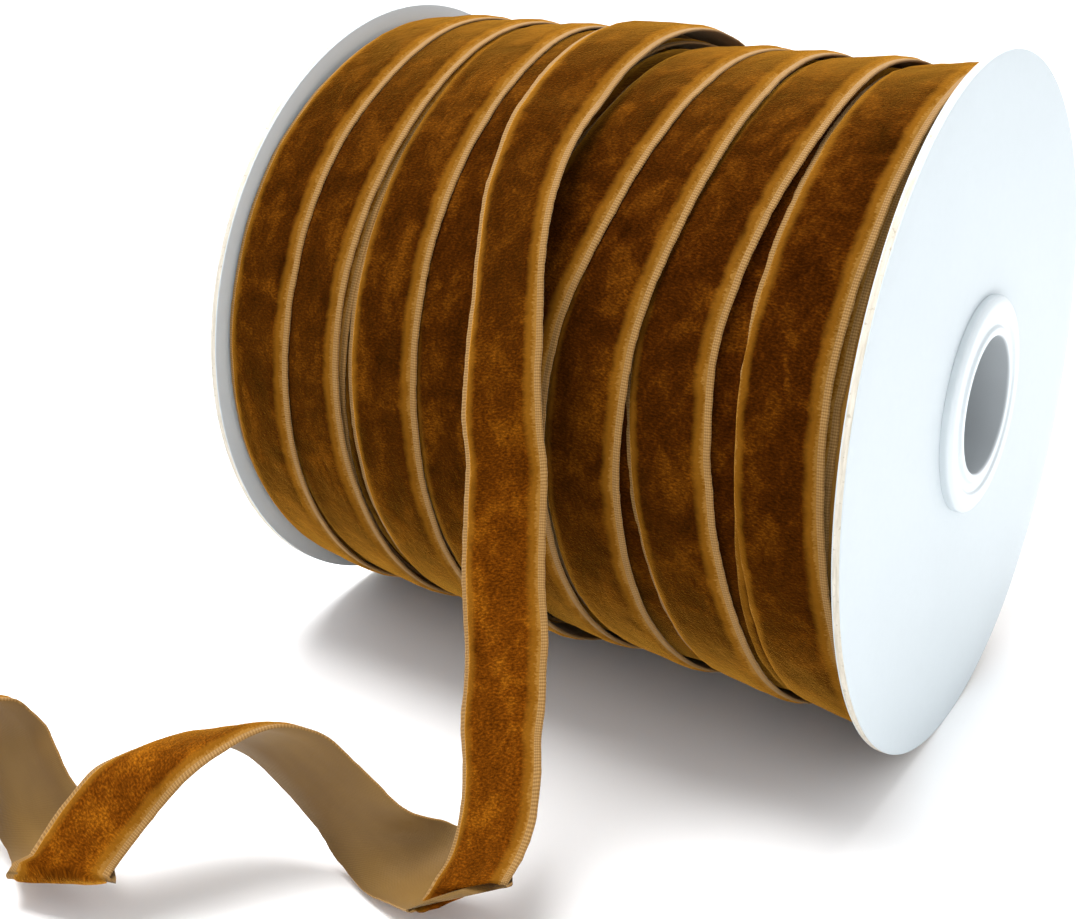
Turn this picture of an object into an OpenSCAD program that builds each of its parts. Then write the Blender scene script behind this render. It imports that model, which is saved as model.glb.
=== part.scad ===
// Ribbon spool: two paper-faced chipboard flanges on a cardboard tube, with plastic
// hub bushings, wound with velvet ribbon whose loose end runs out over the table.
// The spool lies on its two rims, axle along X. The table is z = 0.

/* [Flanges] */
// Outer diameter of each flange disc
flange_d = 96; // [92:1:110]
// Thickness of the grey chipboard core of a flange
board_t = 0.8; // [0.6:0.1:1.5]
// Thickness of the white paper laminated on each side of the board
paper_t = 0.15; // [0.1:0.05:0.3]
// Distance between the outer faces of the two flanges
spool_w = 97; // [95:1:102]

/* [Hub] */
// Diameter of the spindle bore through both hubs
bore_d = 19; // [16:0.5:20]
// Outer diameter of the hub collar that shows on the flange
collar_d = 30; // [27:0.5:34]
// Height of the collar above the flange face
collar_h = 1.5; // [1:0.1:3]
// Length of the hub sleeve that is pushed into the winding tube
sleeve_l = 14; // [8:1:20]

/* [Winding tube] */
// Inner diameter of the cardboard winding tube
tube_id = 22; // [21.5:0.5:24]
// Outer diameter of the cardboard winding tube
tube_od = 30; // [27:0.5:36]

/* [Ribbon] */
// Width of the velvet ribbon
ribbon_w = 12.5; // [12:0.1:12.6]
// Thickness of the ribbon, backing and pile together
ribbon_t = 1; // [0.8:0.1:1]
// Radius of the winding under its outermost layers
bulk_r = 44.6; // [44:0.1:44.6]

/* [Loose end] */
// Straight steps between two points of the route of the loose end
route_steps = 3; // [2:1:4]

/* [Hidden] */
$fn = 96;

flange_r = flange_d / 2;
flange_t = board_t + 2 * paper_t;
// Half the clear width between the flanges
inner_half = spool_w / 2 - flange_t;
// Paper stops this far inside the rim of the board
paper_inset = 0.1;
// Gap that keeps the sleeve a push fit in the tube and boards
push_gap = 0.05;
// Bevel around the collar, and the small chamfer at the mouth of the bore
collar_bevel = 0.7;
mouth_chamfer = 0.5;

// The winding leaves this gap beside each flange and between two layers
side_gap = 0.2;
layer_gap = 0.1;
// Eight turns fill the lower layer, one beside the other
lower_turns = 8;
lower_pitch = 2 * (inner_half - side_gap) / lower_turns;
lower_r = bulk_r + layer_gap;
// The upper layer is wound from the left flange to just left of the middle
upper_turns = 4;
upper_pitch = 11.7;
upper_r = lower_r + ribbon_t + layer_gap;
// The last turn lies over both layers
last_r = upper_r + ribbon_t + layer_gap;
last_x = -3;
// The last turn is free of the layer below from this angle, counted up from the front
last_start = 200;
leave_angle = 60;

white_card = [0.94, 0.96, 0.97];
grey_card = [0.66, 0.64, 0.61];
kraft = [0.72, 0.62, 0.50];
velvet = [0.45, 0.24, 0.05];
velvet_back = [0.62, 0.45, 0.24];
clear_tape = [0.85, 0.82, 0.72];
white_plastic = [0.93, 0.95, 0.97];

// Puts a body that is drawn around Z onto the axle, which lies along X
module on_axle() {
    translate([0, 0, flange_r]) rotate([0, 90, 0]) children();
}

// Disc or ring around the axle, from x0 to x1
module ring(r_out, r_in, x0, x1) {
    on_axle() translate([0, 0, x0]) difference() {
        cylinder(r = r_out, h = x1 - x0);
        translate([0, 0, -1]) cylinder(r = r_in, h = x1 - x0 + 2);
    }
}

// side is -1 for the left flange and 1 for the right one
module side_ring(side, r_out, r_in, a, b) {
    ring(r_out, r_in, side > 0 ? a : -b, side > 0 ? b : -a);
}

module core_tube() {
    color(kraft) ring(tube_od / 2, tube_id / 2, -inner_half, inner_half);
}

module flange_board(side) {
    color(grey_card)
        side_ring(side, flange_r, tube_id / 2, inner_half + paper_t, inner_half + paper_t + board_t);
}

module outer_paper(side) {
    color(white_card)
        side_ring(side, flange_r - paper_inset, tube_id / 2, spool_w / 2 - paper_t, spool_w / 2);
}

// The inner paper stops at the tube, which butts against it
module inner_paper(side) {
    color(white_card)
        side_ring(side, flange_r - paper_inset, tube_id / 2, inner_half, inner_half + paper_t);
}

// Flanged bushing: a bevelled collar outside and a sleeve in the tube, bored right through
module hub_bushing(side) {
    bore_r = bore_d / 2;
    collar_r = collar_d / 2;
    sleeve_r = tube_id / 2 - push_gap;
    face = spool_w / 2;
    profile = [
        [bore_r, face - flange_t - sleeve_l],
        [sleeve_r, face - flange_t - sleeve_l],
        [sleeve_r, face],
        [collar_r, face],
        [collar_r, face + collar_h - collar_bevel],
        [collar_r - collar_bevel, face + collar_h],
        [bore_r + mouth_chamfer, face + collar_h],
        [bore_r, face + collar_h - mouth_chamfer]
    ];
    color(white_plastic) on_axle() mirror([0, 0, side > 0 ? 0 : 1]) rotate_extrude() polygon(profile);
}

// A strip of tape that holds the inner end of the ribbon on the tube, inside the winding
module leader_tape() {
    tape_t = 0.1;
    tape_arc = 50;
    color(clear_tape) on_axle() translate([0, 0, -inner_half + 2]) rotate([0, 0, 30])
        rotate_extrude(angle = tape_arc)
            translate([tube_od / 2, 0]) square([tape_t, ribbon_w]);
}

// All the turns under the two outermost layers
module ribbon_inner_winding() {
    tape_clearance = 0.15;
    color(velvet)
        ring(bulk_r, tube_od / 2 + tape_clearance, -inner_half + side_gap, inner_half - side_gap);
}

module lower_turn(i) {
    x0 = -inner_half + side_gap + i * lower_pitch;
    color(velvet) ring(lower_r + ribbon_t, lower_r, x0, x0 + lower_pitch - layer_gap);
}

module upper_turn(i) {
    x0 = -inner_half + side_gap + i * upper_pitch;
    color(velvet) ring(upper_r + ribbon_t, upper_r, x0, x0 + upper_pitch - layer_gap);
}

// Route of the loose end down to the table and through its curls. Each row is the centre
// of the ribbon, then how far its width is turned from +X towards +Y and raised, in degrees.
route = [
    [-2.5, -29, 86.5, -2, 3], [-2, -34, 82.5, -7, 7], [-1, -39, 77.5, -10, 7],
    [0.5, -43, 71.5, -13, 7], [2, -46, 65.5, -11, 6], [3.5, -49, 59.5, -8, 5],
    [5, -51.5, 53, -5, 4], [7, -53.5, 47, -4, 4], [8.5, -56, 41, -3, 4],
    [10, -58.5, 35.5, -4, 5], [12, -61, 30.5, -5, 5], [14, -64, 25.5, -7, 7],
    [15.5, -67, 21, -8, 10], [17.5, -70, 17, -9, 15], [18.8, -72.6, 13.6, -8, 21],
    [19.2, -75.4, 10.6, -7, 27], [19, -78.4, 8.6, -2, 29], [19.2, -80.2, 7.8, 10, 29],
    [19, -80, 7.8, 27, 27], [17.6, -78, 6.6, 40, 24], [14, -75.8, 5, 42, 24],
    [9.4, -74.4, 4.4, 37, 27], [4.8, -74.2, 5.6, 23, 28], [0.5, -75.5, 8.5, 9, 22],
    [-4.5, -76.5, 12.5, 8, 20], [-9, -78.5, 16.5, 8, 22], [-13, -82.5, 18.5, 6, 23],
    [-16, -87.5, 18, 4, 19], [-18.5, -92.5, 16, 2, 13], [-20.5, -96.5, 12, 2, 7],
    [-21.6, -99.8, 8.6, 3, 7], [-21.8, -102.2, 6.6, 9, 10], [-22.4, -101.8, 5.8, 18, 14],
    [-25.8, -98.4, 4.8, 24, 22], [-30.6, -95.6, 5, 26, 23], [-35, -94.6, 7.2, 19, 22],
    [-38.5, -94, 11, 14, 19], [-42, -93.5, 14.5, 12, 17], [-44.5, -95, 17.5, 10, 18],
    [-46.5, -98, 18.5, 7, 19], [-49, -101.5, 18.5, 3, 19], [-51, -105.5, 17, -2, 19],
    [-53.5, -109.5, 14.5, -7, 18], [-56.5, -113, 10.5, 0, 11], [-59, -116.5, 6.5, -2, 6],
    [-61, -120, 3, -6, 2], [-62.5, -124, 1.5, -12, 0],
];
// The route is drawn for an axle 48 mm up and stretched in height for any other flange
route_axle = 48;
route_top = 89;
route_stretch = 1 + (flange_r - route_axle) / route_top;
leave_r = last_r + ribbon_t / 2;
leave_point = [last_x, -leave_r * cos(leave_angle), flange_r + leave_r * sin(leave_angle), 0, 0];
knots = concat([leave_point], [for (p = route) [p[0], p[1], p[2] * route_stretch, p[3], p[4]]]);

function unit(v) = v / norm(v);
// Smooth curve through four knots, between the second one and the third one
function curve(a, b, c, d, t) =
    b + 0.5 * t * (c - a + t * (2 * a - 5 * b + 4 * c - d + t * (3 * (b - c) + d - a)));
last_knot = len(knots) - 1;
function on_curve(i, t) =
    curve(knots[max(i - 1, 0)], knots[i], knots[i + 1], knots[min(i + 2, last_knot)], t);
rows = concat(
    [for (i = [0 : last_knot - 1], k = [0 : route_steps - 1]) on_curve(i, k / route_steps)],
    [knots[last_knot]]);
loose_path = [for (p = rows) [p[0], p[1], p[2]]];
// Direction of the creases across the ribbon, which need not be square to its run
loose_sides = [for (p = rows) [cos(p[3]) * cos(p[4]), sin(p[3]) * cos(p[4]), sin(p[4])]];

// Closed strip of the ribbon's width and thickness along a path
module flat_strip(path, sides) {
    n = len(path);
    function dir(i) = unit(path[min(i + 1, n - 1)] - path[max(i - 1, 0)]);
    function flat(i) = unit(cross(dir(i), sides[i]));
    // A slanted crease is longer, so that the ribbon keeps its width
    function across(i) = sides[i] / norm(cross(dir(i), sides[i]));
    function corner(i, s, t) = path[i] + across(i) * s * ribbon_w / 2 + flat(i) * t * ribbon_t / 2;
    points = [for (i = [0 : n - 1]) each
        [corner(i, -1, -1), corner(i, 1, -1), corner(i, 1, 1), corner(i, -1, 1)]];
    walls = [for (i = [0 : n - 2], k = [0 : 3]) each
        let (a = 4 * i + k, b = 4 * i + (k + 1) % 4) [[a, b, b + 4], [a, b + 4, a + 4]]];
    caps = [[2, 1, 0], [3, 2, 0], [4 * n - 4, 4 * n - 3, 4 * n - 2], [4 * n - 4, 4 * n - 2, 4 * n - 1]];
    polyhedron(points = points, faces = concat(walls, caps));
}

// The last turn comes up behind the winding and over its top
module ribbon_last_turn() {
    // rotate_extrude turns from the radial axis that points down, so angles are shifted
    arc = last_start - leave_angle;
    color(velvet) on_axle() translate([0, 0, last_x - ribbon_w / 2])
        rotate([0, 0, 270 - last_start]) rotate_extrude(angle = arc)
            translate([last_r, 0]) square([ribbon_t, ribbon_w]);
}

module ribbon_loose_end() {
    color(velvet) flat_strip(loose_path, loose_sides);
}

core_tube();
flange_board(-1);  // left_flange_board
flange_board(1);  // right_flange_board
outer_paper(-1);  // left_outer_paper
outer_paper(1);  // right_outer_paper
inner_paper(-1);  // left_inner_paper
inner_paper(1);  // right_inner_paper
hub_bushing(-1);  // left_hub_bushing
hub_bushing(1);  // right_hub_bushing
leader_tape();
ribbon_inner_winding();
lower_turn(0);  // ribbon_lower_turn_1
lower_turn(1);  // ribbon_lower_turn_2
lower_turn(2);  // ribbon_lower_turn_3
lower_turn(3);  // ribbon_lower_turn_4
lower_turn(4);  // ribbon_lower_turn_5
lower_turn(5);  // ribbon_lower_turn_6
lower_turn(6);  // ribbon_lower_turn_7
lower_turn(7);  // ribbon_lower_turn_8
upper_turn(0);  // ribbon_upper_turn_1
upper_turn(1);  // ribbon_upper_turn_2
upper_turn(2);  // ribbon_upper_turn_3
upper_turn(3);  // ribbon_upper_turn_4
ribbon_last_turn();
ribbon_loose_end();
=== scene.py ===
# Looks of the ribbon spool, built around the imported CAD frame. Units are metres.
import math

import bmesh
import bpy
import numpy as np
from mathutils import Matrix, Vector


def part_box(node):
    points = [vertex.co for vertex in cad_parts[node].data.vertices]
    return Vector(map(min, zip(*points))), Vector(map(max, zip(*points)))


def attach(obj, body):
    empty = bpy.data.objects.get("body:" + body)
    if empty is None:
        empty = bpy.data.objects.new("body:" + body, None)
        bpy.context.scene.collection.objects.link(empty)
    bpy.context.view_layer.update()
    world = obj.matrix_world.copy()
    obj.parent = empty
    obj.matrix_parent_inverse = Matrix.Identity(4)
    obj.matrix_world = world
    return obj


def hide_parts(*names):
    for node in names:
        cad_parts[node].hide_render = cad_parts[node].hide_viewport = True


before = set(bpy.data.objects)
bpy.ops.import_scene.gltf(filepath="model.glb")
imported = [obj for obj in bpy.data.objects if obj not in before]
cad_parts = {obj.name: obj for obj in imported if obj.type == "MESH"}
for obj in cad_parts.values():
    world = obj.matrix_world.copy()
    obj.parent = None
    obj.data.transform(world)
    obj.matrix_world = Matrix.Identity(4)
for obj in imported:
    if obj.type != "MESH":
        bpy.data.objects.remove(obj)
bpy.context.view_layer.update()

# ---------------------------------------------------------------- sizes
MM = 0.001
board_low, board_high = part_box("right_flange_board")
hub_low, hub_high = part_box("right_hub_bushing")

# Places along the axle, and its height, from the frame
AXLE_Z = (board_low.z + board_high.z) / 2
FACE_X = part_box("right_outer_paper")[1].x
COLLAR_X = hub_high.x
SLEEVE_END_X = hub_low.x
INNER_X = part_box("core_tube")[1].x

# Radii and thicknesses, the same as in the CAD model
FLANGE_R = 48 * MM
TUBE_R = 15 * MM
TUBE_BORE_R = 11 * MM
BORE_R = 9.5 * MM
COLLAR_R = 15 * MM
PAPER_T = 0.15 * MM
RIBBON_MM = 12.5
RIBBON_W = RIBBON_MM * MM
RIBBON_T = 1.0 * MM

# ---------------------------------------------------------------- camera
CAMERA_AZ = math.radians(34.68)
CAMERA_EL = math.radians(15.22)
CAMERA_DISTANCE = 5.199 * FLANGE_R
CAMERA_TARGET = (-0.673 * FLANGE_R, 0.0, AXLE_Z + 0.1787 * FLANGE_R)
CAMERA_LENS = 50.767
# The lens axis lies off the middle of the view
CAMERA_SHIFT = (0.0472, -0.1908)


def make_camera():
    back = np.array([
        math.sin(CAMERA_AZ) * math.cos(CAMERA_EL),
        -math.cos(CAMERA_AZ) * math.cos(CAMERA_EL),
        math.sin(CAMERA_EL),
    ])
    data = bpy.data.cameras.new("camera")
    data.lens = CAMERA_LENS
    data.sensor_width = 36
    data.sensor_fit = "HORIZONTAL"
    data.shift_x, data.shift_y = CAMERA_SHIFT
    data.clip_start = 0.01
    data.clip_end = 20
    camera = bpy.data.objects.new("camera", data)
    camera.location = np.array(CAMERA_TARGET) + back * CAMERA_DISTANCE
    camera.rotation_euler = (math.pi / 2 - CAMERA_EL, 0, CAMERA_AZ)
    bpy.context.scene.collection.objects.link(camera)
    bpy.context.scene.camera = camera


make_camera()


# ---------------------------------------------------------------- materials
class Nodes:
    """A new material with short ways to add and link its nodes."""

    def __init__(self, name):
        self.material = bpy.data.materials.new(name)
        self.material.use_nodes = True
        self.tree = self.material.node_tree
        self.shader = self.tree.nodes["Principled BSDF"]

    def add(self, kind, **values):
        node = self.tree.nodes.new(kind)
        for key, value in values.items():
            setattr(node, key, value)
        return node

    def link(self, output, target):
        self.tree.links.new(output, target)

    def coords(self):
        return self.add("ShaderNodeTexCoord").outputs["Object"]

    def uv(self):
        return self.add("ShaderNodeUVMap").outputs["UV"]

    def axes(self, vector):
        """The three parts of a vector."""
        node = self.add("ShaderNodeSeparateXYZ")
        self.link(vector, node.inputs[0])
        return node.outputs

    def mapped(self, vector, scale):
        node = self.add("ShaderNodeMapping")
        node.inputs["Scale"].default_value = scale
        self.link(vector, node.inputs["Vector"])
        return node.outputs["Vector"]

    def noise(self, vector, scale, detail=2.0, roughness=0.5, distortion=0.0):
        node = self.add("ShaderNodeTexNoise")
        node.inputs["Scale"].default_value = scale
        node.inputs["Detail"].default_value = detail
        node.inputs["Roughness"].default_value = roughness
        node.inputs["Distortion"].default_value = distortion
        self.link(vector, node.inputs["Vector"])
        return node.outputs["Fac"]

    def math(self, operation, a, b=None):
        node = self.add("ShaderNodeMath", operation=operation)
        for i, value in enumerate((a, b)):
            if value is None:
                continue
            if isinstance(value, (int, float)):
                node.inputs[i].default_value = value
            else:
                self.link(value, node.inputs[i])
        return node.outputs[0]

    def ramp(self, factor, stops):
        node = self.add("ShaderNodeValToRGB")
        elements = node.color_ramp.elements
        while len(elements) < len(stops):
            elements.new(0.5)
        for element, (position, color) in zip(elements, stops):
            element.position = position
            element.color = (*color, 1)
        self.link(factor, node.inputs["Fac"])
        return node.outputs["Color"]

    def two_tone(self, factor, low, high):
        return self.ramp(factor, [(0.3, low), (0.7, high)])

    def mix(self, factor, a, b, blend="MIX"):
        node = self.add("ShaderNodeMix", data_type="RGBA", blend_type=blend)
        for socket, value in ((node.inputs[0], factor), (node.inputs[6], a), (node.inputs[7], b)):
            if isinstance(value, (int, float)):
                socket.default_value = value
            elif isinstance(value, tuple):
                socket.default_value = (*value, 1)
            else:
                self.link(value, socket)
        return node.outputs[2]

    def multiply(self, a, b):
        return self.mix(1.0, a, b, "MULTIPLY")

    def bump(self, height, strength, distance, normal=None):
        node = self.add("ShaderNodeBump")
        node.inputs["Strength"].default_value = strength
        node.inputs["Distance"].default_value = distance
        self.link(height, node.inputs["Height"])
        if normal is not None:
            self.link(normal, node.inputs["Normal"])
        return node.outputs["Normal"]

    def finish(self, color=None, normal=None, roughness=None, **values):
        for key, value in values.items():
            self.shader.inputs[key.replace("_", " ")].default_value = value
        if color is not None:
            self.link(color, self.shader.inputs["Base Color"])
        if normal is not None:
            self.link(normal, self.shader.inputs["Normal"])
        if roughness is not None:
            self.link(roughness, self.shader.inputs["Roughness"])
        return self.material


def split_uv(m):
    """Across the ribbon from 0 to 1, and along it in ribbon widths."""
    parts = m.axes(m.uv())
    return parts[0], parts[1]


def threads(m, coordinate, spacing_mm, shift=None):
    """Rows of threads spacing_mm apart, as a wave from -1 to 1."""
    phase = m.math("MULTIPLY", coordinate, 2 * math.pi * RIBBON_MM / spacing_mm)
    if shift is not None:
        phase = m.math("ADD", phase, shift)
    return m.math("SINE", phase)


def smooth_step(m, value, low, high, to_low=0.0, to_high=1.0):
    node = m.add("ShaderNodeMapRange", interpolation_type="SMOOTHSTEP")
    ends = {"From Min": low, "From Max": high, "To Min": to_low, "To Max": to_high}
    for key, number in ends.items():
        node.inputs[key].default_value = number
    m.link(value, node.inputs["Value"])
    return node.outputs[0]


# Heights between which the hanging ribbon's painted sheen goes from none to full
SHEEN_PAINT_TOP_Z = 75 * MM
SHEEN_PAINT_FULL_Z = 25 * MM


def velvet_pile(name, hanging):
    """Cut pile. hanging is for the strip of the last turn and the loose end: all along it, the lower
    it is, the brighter its colour is painted, as painted sheen."""
    m = Nodes(name)
    place = m.coords()
    across, _ = split_uv(m)
    uv = m.uv()
    # Nap: soft clouds where the pile leans another way, drawn out along the ribbon
    clouds = m.noise(m.mapped(uv, (2.2, 1.6, 1)), 1.0, 4, 0.62, 0.5)
    spots = m.noise(place, 260, 3, 0.65, 0.4)
    depth = 0.30 if hanging else 0.52
    nap = m.math("ADD", m.math("MULTIPLY", clouds, depth), m.math("MULTIPLY", spots, 0.32))
    # The clouds differ in depth between the two kinds, so the middle is brought back to one half
    nap = m.math("ADD", nap, 0.5 * (0.68 - depth))
    color = m.ramp(nap, [
        (0.36, (0.015, 0.0030, 0.0002)),
        (0.50, (0.036, 0.0082, 0.0006)),
        (0.64, (0.090, 0.0260, 0.0018)),
    ])
    # Tufts stand in fine rows across the ribbon
    grain = m.noise(m.mapped(uv, (24, 52, 1)), 1.0, 3, 0.65)
    tuft = m.noise(place, 4200, 1, 0.5)
    speckle = m.ramp(grain, [
        (0.28, (0.40, 0.36, 0.30)),
        (0.50, (1.0, 1.0, 1.0)),
        (0.72, (2.2, 2.3, 2.0)),
    ])
    color = m.multiply(color, speckle)
    if hanging:
        # Painted sheen: the lower the hanging strip is, the brighter its colour
        painted_sheen = smooth_step(m, m.axes(place)[2], SHEEN_PAINT_TOP_Z, SHEEN_PAINT_FULL_Z)
        color = m.mix(painted_sheen, color, m.multiply(color, (2.6, 2.9, 2.2)))
    # The pile is shorter towards the two selvages, and its colour is painted paler there: painted sheen
    # where the pile bends away
    from_middle = m.math("ABSOLUTE", m.math("SUBTRACT", across, 0.5))
    edge_reach = m.math("ADD", from_middle, m.math("MULTIPLY", m.math("SUBTRACT", spots, 0.5), 0.10))
    painted_edge_sheen = smooth_step(m, edge_reach, 0.29, 0.39)
    color = m.mix(m.math("MULTIPLY", painted_edge_sheen, 0.80), color, (0.185, 0.072, 0.0060))
    # and its ragged last strip is painted paler still, more of the same painted sheen
    ragged_edge_reach = m.math("ADD", edge_reach, m.math("MULTIPLY", m.math("SUBTRACT", grain, 0.5), 0.12))
    painted_sheen_fringe = smooth_step(m, ragged_edge_reach, 0.40, 0.43)
    color = m.mix(m.math("MULTIPLY", painted_sheen_fringe, 0.55), color, (0.330, 0.170, 0.0380))
    normal = m.bump(grain, 0.30, 0.00030)
    normal = m.bump(tuft, 0.35, 0.00012, normal)
    normal = m.bump(nap, 0.35, 0.0010, normal)
    return m.finish(color, normal, Roughness=0.95, Specular_IOR_Level=0.0,
                    Sheen_Weight=1.0, Sheen_Roughness=0.30, Sheen_Tint=(1.0, 0.47, 0.055, 1))


def woven_selvage():
    m = Nodes("velvet_selvage")
    across, along = split_uv(m)
    # Picks wrap the edge every 0.36 mm, warp threads run along it
    wobble = m.math("MULTIPLY", m.noise(m.coords(), 420, 2), 1.6)
    picks = threads(m, along, 0.36, wobble)
    warps = threads(m, across, 0.26)
    weave = m.math("ADD", m.math("MULTIPLY", picks, 0.26), m.math("MULTIPLY", warps, 0.14))
    weave = m.math("ADD", weave, 0.5)
    soil = m.noise(m.coords(), 260, 3)
    color = m.ramp(weave, [
        (0.10, (0.160, 0.075, 0.0160)),
        (0.50, (0.265, 0.142, 0.0390)),
        (0.90, (0.370, 0.218, 0.0740)),
    ])
    color = m.mix(m.math("MULTIPLY", soil, 0.40), color, (0.150, 0.066, 0.0120))
    normal = m.bump(weave, 0.5, 0.00012)
    return m.finish(color, normal, Roughness=0.75, Specular_IOR_Level=0.2,
                    Sheen_Weight=0.2, Sheen_Roughness=0.4, Sheen_Tint=(1.0, 0.82, 0.55, 1))


def ribbon_backing():
    m = Nodes("ribbon_backing")
    across, along = split_uv(m)
    picks = threads(m, along, 0.30)
    warps = threads(m, across, 0.28)
    weave = m.math("ADD", m.math("MULTIPLY", m.math("MULTIPLY", picks, warps), 0.5), 0.5)
    tone = m.noise(m.mapped(m.uv(), (2, 0.8, 1)), 1.0, 3)
    color = m.two_tone(tone, (0.131, 0.066, 0.0116), (0.183, 0.099, 0.0206))
    thread = m.ramp(weave, [(0.0, (0.86, 0.85, 0.83)), (1.0, (1.08, 1.08, 1.08))])
    color = m.multiply(color, thread)
    normal = m.bump(weave, 0.3, 0.00008)
    return m.finish(color, normal, Roughness=0.55, Specular_IOR_Level=0.3,
                    Sheen_Weight=0.2, Sheen_Roughness=0.35, Sheen_Tint=(1.0, 0.85, 0.6, 1))


def white_paper():
    m = Nodes("white_paper")
    place = m.coords()
    fibre = m.noise(place, 900, 4, 0.6)
    cloud = m.noise(place, 35, 3)
    color = m.two_tone(cloud, (0.530, 0.585, 0.615), (0.546, 0.601, 0.630))
    color = m.multiply(color, m.two_tone(fibre, (0.985, 0.985, 0.985), (1.0, 1.0, 1.0)))
    normal = m.bump(cloud, 0.12, 0.0006)
    normal = m.bump(fibre, 0.10, 0.00008, normal)
    return m.finish(color, normal, Roughness=0.55, Specular_IOR_Level=0.35)


def grey_chipboard():
    m = Nodes("grey_chipboard")
    place = m.coords()
    layers = m.noise(m.mapped(place, (9, 1, 1)), 260, 4, 0.65)
    flecks = m.noise(place, 1800, 2)
    color = m.two_tone(layers, (0.46, 0.42, 0.345), (0.66, 0.62, 0.54))
    flecked = m.ramp(flecks, [(0.62, (0, 0, 0)), (0.72, (0.5, 0.5, 0.5))])
    color = m.mix(flecked, color, (0.26, 0.22, 0.16))
    normal = m.bump(layers, 0.5, 0.00015)
    return m.finish(color, normal, Roughness=0.95, Specular_IOR_Level=0.15)


def kraft_board():
    m = Nodes("kraft_board")
    place = m.coords()
    plies = m.add("ShaderNodeTexWave", wave_type="BANDS", bands_direction="DIAGONAL")
    plies.inputs["Scale"].default_value = 40
    plies.inputs["Distortion"].default_value = 1.5
    m.link(place, plies.inputs["Vector"])
    fibre = m.noise(place, 700, 4, 0.6)
    color = m.ramp(fibre, [(0.25, (0.24, 0.155, 0.085)), (0.75, (0.40, 0.285, 0.17))])
    color = m.mix(m.math("MULTIPLY", plies.outputs["Fac"], 0.2), color, (0.19, 0.12, 0.065))
    normal = m.bump(fibre, 0.35, 0.0001)
    return m.finish(color, normal, Roughness=0.9, Specular_IOR_Level=0.2)


def hub_plastic():
    m = Nodes("hub_plastic")
    place = m.coords()
    mould = m.noise(place, 1300, 3, 0.6)
    cloud = m.noise(place, 60, 2)
    color = m.two_tone(cloud, (0.555, 0.608, 0.635), (0.578, 0.630, 0.656))
    # The wall of the bore is painted a darker grey than the rest: painted shade inside the bore
    _, front, height = m.axes(place)
    up = m.math("SUBTRACT", height, AXLE_Z)
    square = m.math("ADD", m.math("MULTIPLY", front, front), m.math("MULTIPLY", up, up))
    reach = m.math("SQRT", square)
    painted_bore_shade = smooth_step(m, reach, BORE_R + 0.02 * MM, BORE_R + 0.25 * MM, 1.0, 0.0)
    color = m.mix(painted_bore_shade, color, (0.40, 0.43, 0.45))
    rough = m.math("ADD", m.math("MULTIPLY", mould, 0.2), 0.28)
    normal = m.bump(mould, 0.08, 0.00005)
    return m.finish(color, normal, rough, Specular_IOR_Level=0.5)


def crepe_tape():
    m = Nodes("crepe_tape")
    place = m.coords()
    crepe = m.noise(m.mapped(place, (1, 6, 6)), 400, 3)
    color = m.two_tone(crepe, (0.55, 0.48, 0.31), (0.70, 0.63, 0.45))
    return m.finish(color, m.bump(crepe, 0.6, 0.0001), Roughness=0.7)


def pale_floor():
    m = Nodes("pale_floor")
    tone = m.noise(m.coords(), 6, 2)
    color = m.two_tone(tone, (0.95, 0.95, 0.95), (0.96, 0.96, 0.96))
    return m.finish(color, Roughness=0.8, Specular_IOR_Level=0.1)


PILE = velvet_pile("velvet_pile", False)
LOOSE_PILE = velvet_pile("velvet_pile_hanging", True)
SELVAGE = woven_selvage()
BACKING = ribbon_backing()
PAPER = white_paper()
CHIPBOARD = grey_chipboard()
KRAFT = kraft_board()
PLASTIC = hub_plastic()
TAPE = crepe_tape()


# ---------------------------------------------------------------- mesh helpers
def add_object(name, verts, faces, materials, face_materials=None, uvs=None, smooth=True):
    mesh = bpy.data.meshes.new(name)
    mesh.from_pydata([tuple(v) for v in verts], [], [tuple(f) for f in faces])
    for material in materials:
        mesh.materials.append(material)
    if face_materials is not None:
        mesh.polygons.foreach_set("material_index", np.asarray(face_materials, np.int32))
    mesh.polygons.foreach_set("use_smooth", np.full(len(mesh.polygons), smooth))
    if uvs is not None:
        layer = mesh.uv_layers.new(name="UVMap")
        layer.data.foreach_set("uv", np.asarray(uvs, np.float32).ravel())
    mesh.validate()
    mesh.update()
    obj = bpy.data.objects.new(name, mesh)
    bpy.context.scene.collection.objects.link(obj)
    return obj


def unit(v):
    return v / np.linalg.norm(v, axis=-1, keepdims=True)


# Cross-section of the ribbon: distance across from the middle, height over the back, in mm, and the
# part of the ribbon (0 pile, 1 selvage, 2 back), from the left edge over the pile to the right edge
# and back along the underside
HALF_W = RIBBON_W / 2
TOP = [
    (-6.25, 0.22, 1), (-6.18, 0.38, 1), (-5.95, 0.46, 1), (-5.65, 0.48, 1), (-5.42, 0.52, 1),
    (-5.32, 0.62, 0), (-5.10, 0.78, 0), (-4.7, 0.91, 0), (-4.0, 1.0, 0), (-2.8, 1.02, 0), (-1.4, 1.0, 0),
    (0.0, 1.0, 0), (1.4, 1.0, 0), (2.8, 1.02, 0), (4.0, 1.0, 0), (4.7, 0.91, 0), (5.10, 0.78, 0),
    (5.32, 0.62, 0), (5.42, 0.52, 1), (5.65, 0.48, 1), (5.95, 0.46, 1), (6.18, 0.38, 1), (6.25, 0.22, 1),
]
UNDER = [(6.15, 0.04, 2), (3.2, 0.0, 2), (0.0, 0.0, 2), (-3.2, 0.0, 2), (-6.15, 0.04, 2)]
SECTION = TOP + UNDER


def section_materials():
    """Material of the face between each point of the section and the next: 0 pile, 1 selvage, 2 back."""
    parts = [part for _, _, part in SECTION]
    kinds = []
    for a, b in zip(parts, parts[1:] + parts[:1]):
        if a == 2 and b == 2:
            kinds.append(2)
        elif a != 0 and b != 0:
            kinds.append(1)
        else:
            kinds.append(0)
    return kinds


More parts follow.
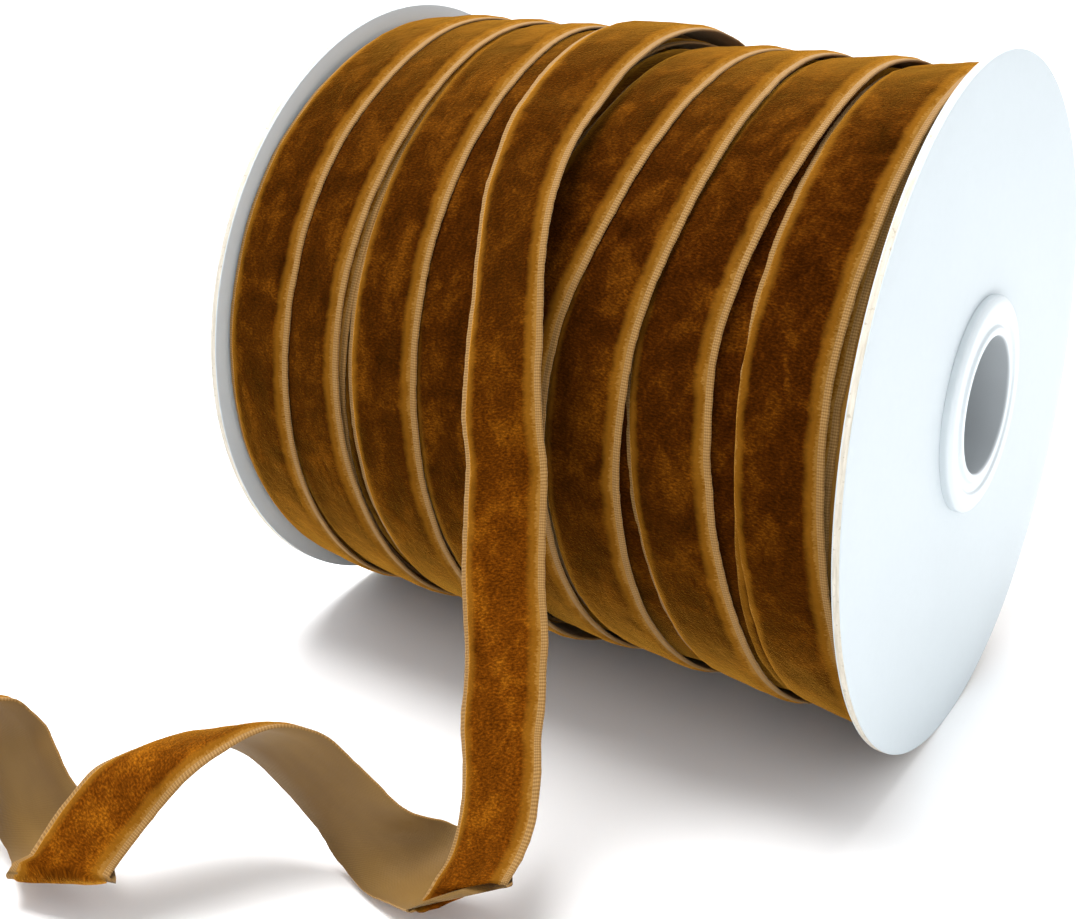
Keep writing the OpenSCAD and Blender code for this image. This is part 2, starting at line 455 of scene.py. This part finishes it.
def smooth_noise(length, spacing, size, generator):
    """Smooth random values, one for each position in length, with bumps about spacing apart."""
    knots = max(4, int(length[-1] / spacing) + 4)
    values = generator.normal(0, size, knots)
    t = length / length[-1] * (knots - 3)
    i = np.minimum(t.astype(int), knots - 4)
    f = t - i
    p0, p1, p2, p3 = values[i], values[i + 1], values[i + 2], values[i + 3]
    return p1 + 0.5 * f * (p2 - p0 + f * (2 * p0 - 5 * p1 + 4 * p2 - p3 + f * (3 * (p1 - p2) + p3 - p0)))


# Unevenness of the ribbon: spacing of the bumps in metres, and their size
PILE_BUMPS = (0.0025, 0.035 * MM)
EDGE_WAVE = (0.004, 0.05 * MM)
EDGE_FRAY = 0.03 * MM
EDGE_TIP = 0.2 * MM
# A crease that slants over the ribbon is longer than the ribbon is wide. Its length is limited, so the
# ribbon is drawn slightly narrow where a fold slants more than this
LEAN_LIMIT = 0.80


def uneven_section(length, section, generator):
    """Places across and heights of the section at each ring: uneven pile and a wavy, frayed edge."""
    rings = len(length)
    s = np.tile(section[:, 0], (rings, 1))
    h = np.tile(section[:, 1], (rings, 1))
    tufted = np.array([part == 0 for _, _, part in SECTION])
    for column in np.nonzero(tufted)[0]:
        h[:, column] += smooth_noise(length, *PILE_BUMPS, generator)
    for side in (-1, 1):
        wave = smooth_noise(length, *EDGE_WAVE, generator)
        edge = np.sign(section[:, 0]) == side
        s[:, edge] += wave[:, None] * np.abs(section[edge, 0]) / HALF_W
        tips = np.abs(np.abs(section[:, 0]) - HALF_W) < EDGE_TIP
        s[:, edge & tips] += generator.normal(0, EDGE_FRAY, rings)[:, None]
    return s, h


def ribbon_strip(name, back, across, start_v=0.0, seed=1, pile=PILE):
    """A strip of velvet ribbon. back is the middle of its underside along the way, across points to its
    right edge, and the pile stands on the side of (direction x across)."""
    generator = np.random.default_rng(seed)
    step = np.linalg.norm(np.diff(back, axis=0), axis=1)
    length = np.concatenate([[0], np.cumsum(step)])
    direction = unit(np.gradient(back, axis=0))
    lean = np.linalg.norm(np.cross(direction, across), axis=1, keepdims=True)
    across = across / np.maximum(lean, LEAN_LIMIT)
    out = unit(np.cross(direction, across))
    slant = (across * direction).sum(1)
    section = np.array([(s, h) for s, h, _ in SECTION]) * MM
    count = len(section)
    rings = len(back)
    s, h = uneven_section(length, section, generator)
    verts = back[:, None, :] + across[:, None, :] * s[:, :, None] + out[:, None, :] * h[:, :, None]
    verts = verts.reshape(-1, 3)

    ring = np.arange(rings - 1)[:, None] * count
    i = np.arange(count)[None, :]
    j = (i + 1) % count
    quads = np.stack([ring + i, ring + count + i, ring + count + j, ring + j], axis=-1)
    faces = [tuple(f) for f in quads.reshape(-1, 4)]
    materials = section_materials() * (rings - 1)

    u = 0.5 + section[:, 0] / RIBBON_W
    v = start_v + (length[:, None] + slant[:, None] * section[None, :, 0]) / RIBBON_W
    uv = np.empty((rings - 1, count, 4, 2))
    uv[..., 0] = np.stack([u[i], u[i], u[j], u[j]], axis=-1)
    uv[..., 0, 1] = v[:-1]
    uv[..., 1, 1] = v[1:]
    uv[..., 2, 1] = np.roll(v[1:], -1, axis=1)
    uv[..., 3, 1] = np.roll(v[:-1], -1, axis=1)
    uvs = uv.reshape(-1, 2).tolist()

    # Cut ends
    for k, order in ((0, range(count)), (rings - 1, range(count - 1, -1, -1))):
        faces.append(tuple(k * count + point for point in order))
        uvs += [[u[point], v[k, point]] for point in order]
        materials.append(1)
    return add_object(name, verts, faces, [pile, SELVAGE, BACKING], materials, uvs)


def smooth_curve(xs, ys, x):
    """Smooth curve through the points (xs, ys), read at x. xs rises."""
    xs, ys = np.asarray(xs, float), np.asarray(ys, float)
    slope = np.gradient(ys, xs, axis=0)
    i = np.clip(np.searchsorted(xs, x) - 1, 0, len(xs) - 2)
    h = xs[i + 1] - xs[i]
    t = (x - xs[i]) / h
    if ys.ndim == 2:
        h, t = h[:, None], t[:, None]
    return (ys[i] * (1 + 2 * t) * (1 - t) ** 2 + slope[i] * h * t * (1 - t) ** 2
            + ys[i + 1] * t * t * (3 - 2 * t) + slope[i + 1] * h * t * t * (t - 1))


ALONG_AXLE = np.array([[1.0, 0, 0]])


def around(wound, radius):
    """Points on the winding. wound is how far the ribbon has run, in degrees, from the top down the
    front, so 0 is the top, 90 the front and 180 the underside."""
    a = np.radians(wound)
    return np.stack([np.zeros_like(a), -radius * np.sin(a), AXLE_Z + radius * np.cos(a)], axis=1)


def radial(wound):
    """Directions straight out of the axle at the same places."""
    a = np.radians(wound)
    return np.stack([np.zeros_like(a), -np.sin(a), np.cos(a)], axis=1)


# Unevenness of the winding: spacing of the changes in metres, and their size
RADIUS_DRIFT = (0.035, 0.10 * MM)
TILT_DRIFT_DEG = (0.03, 0.9)
SIDE_DRIFT = (0.04, 0.12 * MM)


def wound_layer(keys, radius, lift, seed, step=1.0):
    """Back line and width directions of a layer. keys are (wound degrees, x in mm) along the whole ribbon,
    radius its back in mm, lift how far the right edge stands over the left edge, in degrees."""
    generator = np.random.default_rng(seed)
    keys = sorted(keys)
    wound = np.arange(keys[0][0], keys[-1][0] + step / 2, step)
    x = smooth_curve([k[0] for k in keys], [k[1] for k in keys], wound) * MM
    length = np.radians(wound - wound[0]) * radius * MM + 1e-9
    r = radius * MM + smooth_noise(length, *RADIUS_DRIFT, generator)
    tilt = np.radians(lift + smooth_noise(length, *TILT_DRIFT_DEG, generator))
    x = x + smooth_noise(length, *SIDE_DRIFT, generator)
    back = around(wound, r)
    back[:, 0] = x
    across = ALONG_AXLE * np.cos(tilt)[:, None] + radial(wound) * np.sin(tilt)[:, None]
    return wound, back, across


def turn_keys(turns, angles):
    """One list of keys for turns that follow each other. Each turn gives x at the same angles."""
    return [(360 * n + a, x) for n, row in enumerate(turns) for a, x in zip(angles, row)]


# ---------------------------------------------------------------- winding
# Angles from the top down the front: the top, three on the way down, the front, and two below it
VIEWED = [0, 30, 50, 70, 90, 115, 145]
# Lower layer, wound from the right flange to the left one: middle of each turn
LOWER = [
    [39.6, 39.3, 38.9, 38.3, 39.0, 40.4, 41.0],
    [28.0, 27.3, 25.4, 24.0, 25.1, 27.2, 28.8],
    [16.8, 16.5, 15.0, 12.9, 12.4, 13.2, 15.0],
    [8.3, 7.1, 5.2, 2.1, 1.2, 1.6, 2.8],
    [-5.5, -6.5, -8.3, -9.1, -9.7, -9.8, -9.8],
    [-17.0, -17.9, -19.1, -19.9, -20.6, -20.7, -20.7],
    [-28.5, -29.3, -30.3, -30.7, -31.4, -31.7, -31.7],
    [-38.5, -39.0, -40.6, -41.0, -41.0, -41.0, -41.0],
]
# Upper layer, wound from the left flange to the middle. Its end runs on as the last turn
UPPER = [
    [-40.5, -40.1, -41.0, -41.0, -41.0, -41.0, -41.0],
    [-31.2, -30.4, -30.9, -31.6, -31.4, -30.4, -30.0],
    [-20.6, -19.1, -19.0, -18.7, -18.2, -17.4, -16.8],
    [-10.2, -9.8, -9.3, -8.3, -7.3, -6.3, -5.8],
]
# Deep layer, only seen in the gaps: its first place, how far it moves in a turn, and for how many turns
DEEP_START = -41.6
DEEP_PITCH = 13.0
DEEP_MOVING = 6.2
DEEP_TURNS = 8

# Radius of the ribbon's back in each layer in mm, and how far its right edge is raised, in degrees
DEEP_R = 43.1
DEEP_LIFT = -2.0
LOWER_R = 44.35
LOWER_LIFT = 6.3
UPPER_R = 45.6
UPPER_LIFT = 5.8

# Degrees from the top: where the last turn starts, over how much it rises and how far,
# over how much it levels out before the top, and where the loose end carries on from it
LAST_START = -110
RISE_SPAN = 120
RISE = 1.5 * MM
LEVEL_SPAN = 60
JOIN = 24
# Points left out of the route at the join, spacing of its points, and of the finished strip's rings
JOIN_GAP = 3
ROUTE_SPACING = 1.0 * MM
LOOSE_SPACING = 0.8 * MM

# Route of the loose end, in mm and degrees: middle of the ribbon, then how far its width is
# turned from +X towards +Y, and raised
ROUTE = [
    (-3, -23.7, 89, 0, 0), (-2.5, -29, 86.5, -2, 3), (-2, -34, 82.5, -7, 7),
    (-1, -39, 77.5, -10, 7), (0.5, -43, 71.5, -13, 7), (2, -46, 65.5, -11, 6),
    (3.5, -49, 59.5, -8, 5), (5, -51.5, 53, -5, 4), (7, -53.5, 47, -4, 4),
    (8.5, -56, 41, -3, 4), (10, -58.5, 35.5, -4, 5), (12, -61, 30.5, -5, 5),
    (14, -64, 25.5, -7, 7), (15.5, -67, 21, -8, 10), (17.5, -70, 17, -9, 15),
    (18.8, -72.6, 13.6, -8, 21), (19.2, -75.4, 10.6, -7, 27), (19, -78.4, 8.6, -2, 29),
    (19.2, -80.2, 7.8, 10, 29), (19, -80, 7.8, 27, 27), (17.6, -78, 6.6, 40, 24),
    (14, -75.8, 5, 42, 24), (9.4, -74.4, 4.4, 37, 27), (4.8, -74.2, 5.6, 23, 28),
    (0.5, -75.5, 8.5, 9, 22), (-4.5, -76.5, 12.5, 8, 20), (-9, -78.5, 16.5, 8, 22),
    (-13, -82.5, 18.5, 6, 23), (-16, -87.5, 18, 4, 19), (-18.5, -92.5, 16, 2, 13),
    (-20.5, -96.5, 12, 2, 7), (-21.6, -99.8, 8.6, 3, 7), (-21.8, -102.2, 6.6, 9, 10),
    (-22.4, -101.8, 5.8, 18, 14), (-25.8, -98.4, 4.8, 24, 22), (-30.6, -95.6, 5, 26, 23),
    (-35, -94.6, 7.2, 19, 22), (-38.5, -94, 11, 14, 19), (-42, -93.5, 14.5, 12, 17),
    (-44.5, -95, 17.5, 10, 18), (-46.5, -98, 18.5, 7, 19), (-49, -101.5, 18.5, 3, 19),
    (-51, -105.5, 17, -2, 19), (-53.5, -109.5, 14.5, -7, 18), (-56.5, -113, 10.5, 0, 11),
    (-59, -116.5, 6.5, -2, 6), (-61, -120, 3, -6, 2), (-62.5, -124, 1.5, -12, 0),
]


def loose_route():
    """Middle line of the loose end, and the directions to its right edge, along its creases."""
    route = np.array(ROUTE, float)
    steps = np.arange(len(route))
    fine = smooth_curve(steps, route, np.linspace(0, len(route) - 1, 4 * len(route) - 3))
    turn, rise = np.radians(fine[:, 3]), np.radians(fine[:, 4])
    sides = np.stack([np.cos(turn) * np.cos(rise), np.sin(turn) * np.cos(rise), np.sin(rise)], axis=1)
    return fine[:, :3] * MM, sides


def resample(points, vectors, spacing):
    """The same line with rings spacing apart, and its width directions."""
    length = np.concatenate([[0], np.cumsum(np.linalg.norm(np.diff(points, axis=0), axis=1))])
    at = np.linspace(0, length[-1], int(length[-1] / spacing) + 1)
    return smooth_curve(length, points, at), unit(smooth_curve(length, vectors, at))


def make_ribbon():
    """All the ribbon: a deep layer that shows in the gaps, the lower and upper layers, and the loose end."""
    # Lower layer, with a third of a turn more at each end, whose edge runs into the flange
    keys = turn_keys(LOWER, VIEWED)
    keys = [(-120, 42.0)] + keys + [(keys[-1][0] + 120, -42.0)]
    _, back, across = wound_layer(keys, LOWER_R, LOWER_LIFT, seed=3)
    lower = ribbon_strip("velvet_lower_layer", back, across, seed=4)
    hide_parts(*[f"ribbon_lower_turn_{i + 1}" for i in range(8)])

    deep_keys = []
    for half in range(2 * DEEP_TURNS):
        moved = min(max(half / 2 - 0.5, 0), DEEP_MOVING)
        deep_keys.append((180 * half, DEEP_START + DEEP_PITCH * moved))
    _, back, across = wound_layer(deep_keys, DEEP_R, DEEP_LIFT, seed=5, step=2.0)
    deep = ribbon_strip("velvet_deep_layer", back, across, start_v=40, seed=6)
    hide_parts("ribbon_inner_winding")

    # Upper layer and loose end are one strip, split where the last turn starts
    top = 360 * len(UPPER)
    keys = [(-150, -42.0)] + turn_keys(UPPER, VIEWED)
    keys += [(top - 120, -5.0), (top - 60, -4.0), (top, -3.3), (top + 40, -3.0)]
    wound, back, across = wound_layer(keys, UPPER_R, UPPER_LIFT, seed=7)
    # The last turn rises off the others towards the top
    rise = np.clip((wound - (top + LAST_START)) / RISE_SPAN, 0, 1)
    back = back + radial(wound) * (rise * rise * (3 - 2 * rise) * RISE)[:, None]
    level = np.clip((wound - (top - LEVEL_SPAN)) / LEVEL_SPAN, 0, 1)[:, None]
    across = unit(across * (1 - level) + ALONG_AXLE * level)
    split = int(np.argmin(np.abs(wound - (top + LAST_START))))
    joined = int(np.argmin(np.abs(wound - (top + JOIN))))

    middle, sides = loose_route()
    middle, sides = resample(middle, sides, ROUTE_SPACING)
    run = unit(np.gradient(middle, axis=0))
    under = middle - unit(np.cross(run, sides)) * (RIBBON_T / 2)
    back_all = np.concatenate([back[:joined], under[JOIN_GAP:]])
    across_all = np.concatenate([across[:joined], sides[JOIN_GAP:]])

    upper = ribbon_strip("velvet_upper_layer", back[:split + 1], across[:split + 1], seed=8)
    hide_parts(*[f"ribbon_upper_turn_{i + 1}" for i in range(4)])
    line, across_line = resample(back_all[split:], across_all[split:], LOOSE_SPACING)
    loose = ribbon_strip("velvet_loose_end", line, across_line, start_v=30, seed=9, pile=LOOSE_PILE)
    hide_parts("ribbon_last_turn", "ribbon_loose_end")

    for piece in (lower, deep, upper, loose):
        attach(piece, "root")


# ---------------------------------------------------------------- turned pieces
FLANGE_WARP = 0.15 * MM
WARP_PHASE = 0.7
# Rounding of the rims of board and paper
BOARD_ROUND = 0.08 * MM
PAPER_ROUND = 0.1 * MM


def lathe(name, profile, material, side=1, segments=180, warp=0.0):
    """Solid of revolution about the axle. profile is a closed list of (radius, x) in metres.
    side is 1 for the right end and -1 for its mirror image, and warp bends the rim out of flat."""
    turns = np.linspace(0, 2 * math.pi, segments, endpoint=False)
    verts = []
    for a in turns:
        for r, x in profile:
            bend = warp * (r / FLANGE_R) ** 2 * math.sin(2 * a + WARP_PHASE)
            verts.append((side * (x + bend), r * math.cos(a), AXLE_Z + r * math.sin(a)))
    count = len(profile)
    faces = []
    for k in range(segments):
        for i in range(count):
            j = (i + 1) % count
            a, b = k * count, (k + 1) % segments * count
            quad = (a + i, a + j, b + j, b + i)
            faces.append(quad if side > 0 else quad[::-1])
    obj = add_object(name, verts, faces, [material])
    fix_normals(obj)
    return obj


def fix_normals(obj):
    work = bmesh.new()
    work.from_mesh(obj.data)
    bmesh.ops.recalc_face_normals(work, faces=work.faces)
    work.to_mesh(obj.data)
    work.free()


def rounded(corners, steps=4):
    """Closed profile with its corners rounded. corners are (radius, x, rounding) in metres."""
    points = []
    count = len(corners)
    for i, (r, x, rounding) in enumerate(corners):
        here = np.array([r, x])
        if rounding == 0:
            points.append(tuple(here))
            continue
        before = np.array(corners[i - 1][:2])
        after = np.array(corners[(i + 1) % count][:2])
        start = here + unit(before - here) * rounding
        end = here + unit(after - here) * rounding
        for k in range(steps + 1):
            t = k / steps
            points.append(tuple((1 - t) ** 2 * start + 2 * t * (1 - t) * here + t * t * end))
    return points


def sharpen(obj, angle=35):
    bpy.context.view_layer.objects.active = obj
    obj.select_set(True)
    bpy.ops.object.shade_smooth_by_angle(angle=math.radians(angle))
    obj.select_set(False)


def make_flange(side, word):
    board_in = INNER_X + PAPER_T
    board_out = FACE_X - PAPER_T
    hole = TUBE_BORE_R
    rings = np.linspace(hole, FLANGE_R - 0.3 * MM, 9)[1:-1]
    board = [(hole, board_in, 0)] + [(r, board_in, 0) for r in rings]
    board += [(FLANGE_R, board_in, BOARD_ROUND), (FLANGE_R, board_out, BOARD_ROUND)]
    board += [(r, board_out, 0) for r in rings[::-1]] + [(hole, board_out, 0)]
    paper_r = FLANGE_R - 0.02 * MM
    pieces = [lathe(f"{word}_board", rounded(board), CHIPBOARD, side, warp=FLANGE_WARP)]
    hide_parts(f"{word}_flange_board")
    for kind, low, high in (("outer", board_out, FACE_X), ("inner", INNER_X, board_in)):
        soft_low = 0.0 if kind == "outer" else PAPER_ROUND
        soft_high = PAPER_ROUND if kind == "outer" else 0.0
        profile = [(hole, low, 0)] + [(r, low, 0) for r in rings] + [(paper_r, low, soft_low)]
        profile += [(paper_r, high, soft_high)] + [(r, high, 0) for r in rings[::-1]] + [(hole, high, 0)]
        piece = lathe(f"{word}_{kind}_facing", rounded(profile), PAPER, side, warp=FLANGE_WARP)
        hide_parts(f"{word}_{kind}_paper")
        pieces.append(piece)
    for piece in pieces:
        sharpen(piece)
        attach(piece, "root")


def make_hub(side, word):
    profile = rounded([
        (BORE_R, SLEEVE_END_X, 0.2 * MM),
        (TUBE_BORE_R - 0.05 * MM, SLEEVE_END_X, 0.6 * MM),
        (TUBE_BORE_R - 0.05 * MM, FACE_X, 0),
        (COLLAR_R, FACE_X, 0.05 * MM),
        (COLLAR_R, COLLAR_X - 0.5 * MM, 0.3 * MM),
        (COLLAR_R - 0.8 * MM, COLLAR_X - 0.05 * MM, 0.4 * MM),
        (COLLAR_R - 2.6 * MM, COLLAR_X - 0.05 * MM, 0.2 * MM),
        (COLLAR_R - 2.9 * MM, COLLAR_X - 0.35 * MM, 0.15 * MM),
        (BORE_R + 1.5 * MM, COLLAR_X - 0.35 * MM, 0.15 * MM),
        (BORE_R + 1.1 * MM, COLLAR_X, 0.2 * MM),
        (BORE_R, COLLAR_X, 0.4 * MM),
    ], steps=5)
    hub = lathe(f"{word}_hub", profile, PLASTIC, side, segments=128)
    sharpen(hub)
    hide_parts(f"{word}_hub_bushing")
    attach(hub, "root")


def make_core():
    profile = rounded([
        (TUBE_BORE_R, -INNER_X, 0.2 * MM), (TUBE_R, -INNER_X, 0.2 * MM),
        (TUBE_R, INNER_X, 0.2 * MM), (TUBE_BORE_R, INNER_X, 0.2 * MM),
    ])
    core = lathe("winding_tube", profile, KRAFT, segments=96)
    sharpen(core)
    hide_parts("core_tube")
    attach(core, "root")


def make_bulk():
    """The turns under the deep layer, as one roll with a groove between each two turns."""
    half = INNER_X - 0.3 * MM
    hole = TUBE_R + 0.2 * MM
    top = 43.05 * MM
    groove = 0.5 * MM
    turns = 8
    width = 2 * half / turns
    outline = [(hole, half), (hole, -half), (top - groove, -half)]
    for k in range(turns):
        start = -half + k * width
        outline += [(top, start + groove), (top, start + width - groove), (top - groove, start + width)]
    bulk = lathe("velvet_bulk", outline, PILE, segments=128)
    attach(bulk, "root")
    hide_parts("ribbon_inner_winding")


def dress_tape():
    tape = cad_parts["leader_tape"]
    tape.data.materials.clear()
    tape.data.materials.append(TAPE)


# ---------------------------------------------------------------- stage
FLOOR_HALF = 20.0
WORLD_COLOR = (0.975, 0.985, 1.0, 1)
WORLD_STRENGTH = 1.0
# Name, place, target, size in metres and power in watts of each light
LIGHTS = (
    ("key", (-0.20, -0.06, 0.88), (0, 0, 0.05), 0.50, 11.0),
    ("fill", (0.75, -0.30, 0.45), (0.05, 0, 0.05), 0.60, 0.3),
    ("back", (-0.10, 0.60, 0.70), (0, 0, 0.05), 0.60, 4.2),
)


def make_stage():
    half = FLOOR_HALF
    corners = [(-half, -half, 0), (half, -half, 0), (half, half, 0), (-half, half, 0)]
    floor = add_object("floor", corners, [(0, 1, 2, 3)], [pale_floor()], smooth=False)
    world = bpy.data.worlds.new("studio")
    world.use_nodes = True
    background = world.node_tree.nodes["Background"]
    background.inputs["Color"].default_value = WORLD_COLOR
    background.inputs["Strength"].default_value = WORLD_STRENGTH
    bpy.context.scene.world = world
    for name, place, target, size, power in LIGHTS:
        data = bpy.data.lights.new(name, "AREA")
        data.size = size
        data.energy = power
        light = bpy.data.objects.new(name, data)
        place = np.array(place)
        aim = np.array(target) - place
        light.location = place
        light.rotation_euler = (math.atan2(math.hypot(aim[0], aim[1]), -aim[2]), 0,
                                math.atan2(aim[1], aim[0]) - math.pi / 2)
        bpy.context.scene.collection.objects.link(light)
    bpy.context.scene.view_settings.view_transform = "Standard"


make_ribbon()
for side, word in ((-1, "left"), (1, "right")):
    make_flange(side, word)
    make_hub(side, word)
make_core()
make_bulk()
dress_tape()
make_stage()
